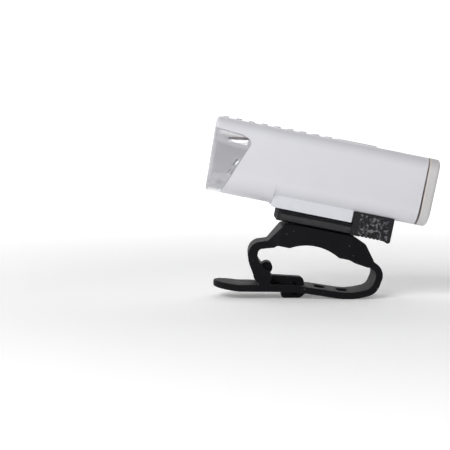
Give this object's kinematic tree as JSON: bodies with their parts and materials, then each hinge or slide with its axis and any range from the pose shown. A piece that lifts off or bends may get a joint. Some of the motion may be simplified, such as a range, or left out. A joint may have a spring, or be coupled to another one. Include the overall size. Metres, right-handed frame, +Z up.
{
  "type": "bicycle headlight",
  "caption": "White rechargeable bicycle headlight with a wrap-round clear front, on a black slide-on bracket that swivels on a silicone handlebar strap.",
  "frame": {"origin": "centre of the bounding box at the ground, under the light", "axes": "+X rearward, +Y away from the side shown in the picture, +Z up"},
  "size_m": [0.0782, 0.03, 0.0623],
  "materials": {
    "white_shell": "satin moulded",
    "white_key": "satin moulded",
    "white_silicone": "matt",
    "clear_plastic": "clear moulded",
    "optic": "clear moulded, finely ribbed",
    "black_silicone": "matt",
    "black_gloss": "glossy moulded, textured grip",
    "black_plastic": "moulded",
    "grey_plastic": "moulded",
    "aluminium": "machined",
    "steel": "plated",
    "board_white": "solder mask",
    "board_green": "solder mask",
    "emitter_yellow": "phosphor",
    "cell_wrap": "foil wrap",
    "foam": "foam",
    "lead_red": "insulated wire"
  },
  "bodies": {
    "strap": {"strap": "black_silicone", "pivot_insert": "black_plastic", "pivot_nut": "steel", "pivot_screw": "steel", "pivot_washer": "steel"},
    "bracket": {"bracket_plate": "black_gloss"},
    "release_tab": {"release_tab": "black_gloss"},
    "light": {"housing": "white_shell", "front_glass": "clear_plastic", "lamp_seal": "black_silicone", "heat_sink": "aluminium", "lamp_board": "board_white", "emitters": "emitter_yellow", "collimator": "optic", "main_board": "board_green", "cell": "cell_wrap", "cell_pad": "foam", "lamp_leads": "lead_red", "cell_leads": "lead_red", "switch_body": "black_plastic", "charging_socket": "steel", "end_plate": "grey_plastic", "end_screws": "steel", "mount_rail": "white_shell"},
    "power_key": {"power_key": "white_key", "switch_plunger": "black_plastic"},
    "rear_cover": {"rear_cover": "white_silicone"}
  },
  "joints": [
    {"name": "bracket_swivel", "type": "hinge", "parent": "strap", "child": "bracket", "pos_m": [-0.00095, 0, 0.02449], "axis": [0.1959, 0, 0.9806], "continuous": true},
    {"name": "light_slide", "type": "slide", "parent": "bracket", "child": "light", "axis": [-0.9806, 0, 0.1959], "range_m": [0, 0.028]},
    {"name": "tab_press", "type": "hinge", "parent": "bracket", "child": "release_tab", "pos_m": [0.00974, 0, 0.02287], "axis": [0, 1, 0], "range_deg": [0, 6], "stiffness_Nm_per_rad": 0.5},
    {"name": "key_press", "type": "slide", "parent": "light", "child": "power_key", "axis": [-0.1959, 0, -0.9806], "range_m": [0, 0.0005], "stiffness_N_per_m": 4000},
    {"name": "cover_open", "type": "hinge", "parent": "light", "child": "rear_cover", "pos_m": [0.0357, 0, 0.04817], "axis": [0, -1, 0], "range_deg": [0, 90], "stiffness_Nm_per_rad": 0.003, "springref_deg": -17.19}
  ]
}
